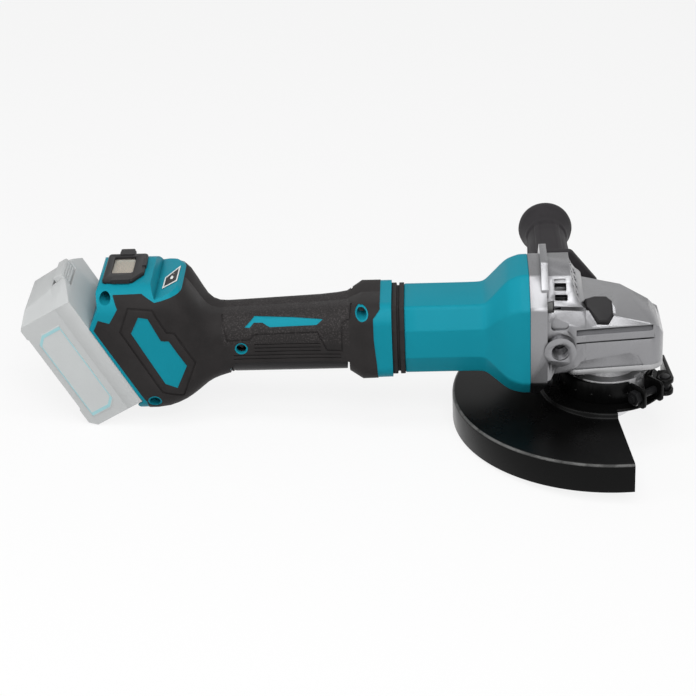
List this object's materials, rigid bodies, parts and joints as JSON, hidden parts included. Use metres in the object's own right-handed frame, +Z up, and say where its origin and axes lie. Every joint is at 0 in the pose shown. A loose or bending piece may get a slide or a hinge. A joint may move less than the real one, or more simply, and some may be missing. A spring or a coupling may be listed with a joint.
{
  "type": "angle grinder",
  "caption": "Large cordless angle grinder with a long switch-lever grip, faceted motor barrel, cast gear head, half-round wheel guard, side handle and slide-on battery pack.",
  "frame": {"origin": "on the spindle axis, in the plane of the wheel seat on the inner flange", "axes": "+X along the tool to the nose, +Y to the side handle, +Z up; the spindle points along -Z"},
  "size_m": [0.5165, 0.3221, 0.147],
  "materials": {
    "teal_plastic": "fine-grained moulded",
    "soft_grip": "matte soft-touch",
    "cast_aluminium": "die-cast, bead-blasted",
    "black_steel": "black coated",
    "bright_steel": "machined",
    "copper": "enamelled",
    "black_plastic": "moulded",
    "seal_rubber": "matte",
    "filter_mesh": "woven",
    "pale_plastic": "moulded",
    "label_film": "satin film",
    "cell_can": "wrapped"
  },
  "bodies": {
    "body": {"baffle_plate": "black_plastic", "bearing_box": "cast_aluminium", "bearing_box_screws": "black_steel", "controller": "black_plastic", "damper_ring": "soft_grip", "gear_housing": "cast_aluminium", "gear_housing_screws": "black_steel", "grip_overmold_left": "soft_grip", "grip_overmold_right": "soft_grip", "handle_screws": "black_steel", "handle_shell_left": "teal_plastic", "handle_shell_right": "teal_plastic", "indicator_panel": "black_plastic", "lever_pivot_pin": "bright_steel", "lever_spring": "bright_steel", "motor_housing": "teal_plastic", "needle_bearing": "bright_steel", "rotor_front_bearing": "bright_steel", "rotor_rear_bearing": "bright_steel", "seal_ring": "seal_rubber", "shaft_lock_spring": "bright_steel", "side_handle_grip": "soft_grip", "side_handle_stud": "bright_steel", "spindle_bearing": "bright_steel", "stator": "bright_steel", "stator_windings": "copper", "switch_body": "black_plastic", "terminal_blades": "copper", "terminal_block": "black_plastic"},
    "spindle": {"spindle": "bright_steel", "bevel_gear": "bright_steel", "inner_flange": "bright_steel"},
    "lock_nut": {"lock_nut": "bright_steel"},
    "rotor": {"rotor": "bright_steel", "fan": "black_plastic", "pinion": "bright_steel"},
    "guard": {"wheel_guard": "black_steel", "guard_skirt": "black_steel", "guard_band": "black_steel", "clamp_screw": "black_steel", "clamp_nut": "black_steel", "clamp_pin": "black_steel"},
    "clamp_lever": {"clamp_lever": "black_steel"},
    "switch_lever": {"switch_lever": "black_plastic", "lock_off_pin": "bright_steel"},
    "lock_off": {"lock_off_lever": "black_plastic"},
    "plunger": {"switch_plunger": "black_plastic"},
    "shaft_lock": {"shaft_lock_button": "black_plastic"},
    "dust_cover": {"dust_cover_frame": "black_plastic", "dust_cover_mesh": "filter_mesh"},
    "battery": {"battery_top": "pale_plastic", "battery_case": "pale_plastic", "battery_cells": "cell_can", "battery_labels": "label_film"},
    "battery_button": {"battery_button": "pale_plastic"}
  },
  "joints": [
    {"name": "spindle_spin", "type": "hinge", "parent": "body", "child": "spindle", "pos_m": [0, 0, 0], "axis": [0, 0, 1], "continuous": true},
    {"name": "lock_nut_off", "type": "slide", "parent": "spindle", "child": "lock_nut", "axis": [0, 0, -1], "range_m": [0, 0.045]},
    {"name": "rotor_spin", "type": "hinge", "parent": "body", "child": "rotor", "pos_m": [0, 0, 0.067], "axis": [1, 0, 0], "continuous": true},
    {"name": "guard_turn", "type": "hinge", "parent": "body", "child": "guard", "pos_m": [0, 0, 0], "axis": [0, 0, 1], "range_deg": [-60, 80]},
    {"name": "clamp_lever_open", "type": "hinge", "parent": "guard", "child": "clamp_lever", "pos_m": [0.04489, -0.02238, 0.022], "axis": [0, 0, -1], "range_deg": [0, 75]},
    {"name": "lever_squeeze", "type": "hinge", "parent": "body", "child": "switch_lever", "pos_m": [-0.295, 0, 0.056], "axis": [0, -1, 0], "range_deg": [0, 5.5], "stiffness_Nm_per_rad": 4, "springref_deg": -2.86, "deforming": ["lever_spring"]},
    {"name": "lock_off_swing", "type": "hinge", "parent": "switch_lever", "child": "lock_off", "pos_m": [-0.257, 0, 0.0455], "axis": [0, 1, 0], "range_deg": [0, 25], "stiffness_Nm_per_rad": 0.05, "springref_deg": -5.73},
    {"name": "plunger_press", "type": "slide", "parent": "body", "child": "plunger", "axis": [0, 0, 1], "range_m": [0, 0.0066]},
    {"name": "shaft_lock_press", "type": "slide", "parent": "body", "child": "shaft_lock", "axis": [0, 0.6428, -0.766], "range_m": [0, 0.0043], "stiffness_N_per_m": 900, "springref_m": -0.004, "deforming": ["shaft_lock_spring"]},
    {"name": "dust_cover_lift", "type": "slide", "parent": "body", "child": "dust_cover", "axis": [0, 0, 1], "range_m": [0, 0.025]},
    {"name": "battery_slide", "type": "slide", "parent": "body", "child": "battery", "axis": [-0.4848, 0, 0.8746], "range_m": [0, 0.095]},
    {"name": "battery_release", "type": "slide", "parent": "battery", "child": "battery_button", "axis": [-0.8746, 0, -0.4848], "range_m": [0, 0.004], "stiffness_N_per_m": 600, "springref_m": -0.004}
  ],
  "couplings": [
    {"joint": "rotor_spin", "follows": "spindle_spin", "ratio": -3.1667},
    {"joint": "plunger_press", "follows": "lever_squeeze", "m_per_rad": 0.067}
  ]
}
